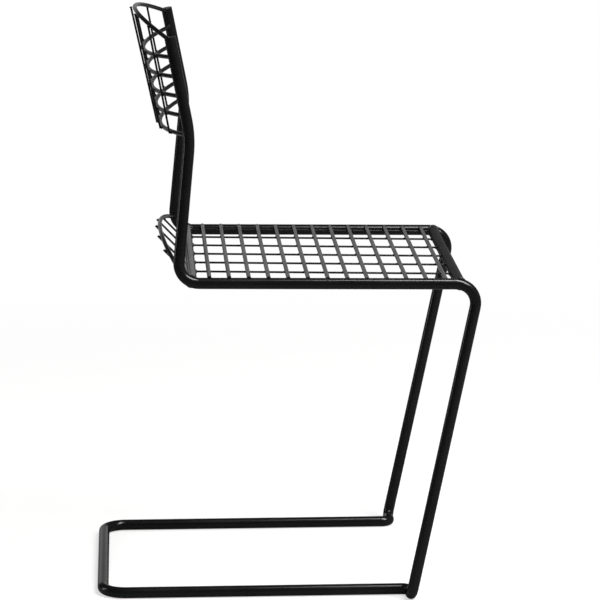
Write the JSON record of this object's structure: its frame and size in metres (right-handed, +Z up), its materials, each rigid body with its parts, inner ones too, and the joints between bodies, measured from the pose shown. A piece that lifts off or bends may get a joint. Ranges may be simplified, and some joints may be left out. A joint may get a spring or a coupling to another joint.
{
  "type": "cantilever wire chair",
  "caption": "Cantilever side chair in black painted steel: bent round bar frame on a floor-lying base, welded rod and wire seat with an upturned rear lip, low bowed mesh back.",
  "frame": {"origin": "on the floor, in the middle of the overall width and depth", "axes": "+X to the front of the chair, +Y to the sitter's left, +Z up"},
  "size_m": [0.5433, 0.4538, 0.83],
  "materials": {
    "painted_bar": "gloss",
    "painted_rod": "gloss",
    "painted_wire": "gloss"
  },
  "bodies": {
    "root": {"back_cross_rod_1": "painted_rod", "back_cross_rod_2": "painted_rod", "back_cross_rod_3": "painted_rod", "back_cross_rod_4": "painted_rod", "back_cross_rod_5": "painted_rod", "back_top_rod": "painted_rod", "back_upright_wire_1": "painted_wire", "back_upright_wire_2": "painted_wire", "back_upright_wire_3": "painted_wire", "back_upright_wire_4": "painted_wire", "back_upright_wire_5": "painted_wire", "base_bar": "painted_bar", "front_seat_crossbar": "painted_bar", "left_side_bar": "painted_bar", "rear_seat_crossbar": "painted_bar", "right_side_bar": "painted_bar", "seat_cross_rod_01": "painted_rod", "seat_cross_rod_02": "painted_rod", "seat_cross_rod_03": "painted_rod", "seat_cross_rod_04": "painted_rod", "seat_cross_rod_05": "painted_rod", "seat_cross_rod_06": "painted_rod", "seat_cross_rod_07": "painted_rod", "seat_cross_rod_08": "painted_rod", "seat_cross_rod_09": "painted_rod", "seat_cross_rod_10": "painted_rod", "seat_cross_rod_11": "painted_rod", "seat_cross_rod_12": "painted_rod", "seat_cross_rod_13": "painted_rod", "seat_lip_rod": "painted_rod", "seat_lip_wire_1": "painted_wire", "seat_lip_wire_2": "painted_wire", "seat_lip_wire_3": "painted_wire", "seat_lip_wire_4": "painted_wire", "seat_lip_wire_5": "painted_wire", "seat_long_wire_1": "painted_wire", "seat_long_wire_2": "painted_wire", "seat_long_wire_3": "painted_wire", "seat_long_wire_4": "painted_wire", "seat_long_wire_5": "painted_wire", "seat_long_wire_6": "painted_wire", "seat_long_wire_7": "painted_wire"}
  },
  "joints": []
}
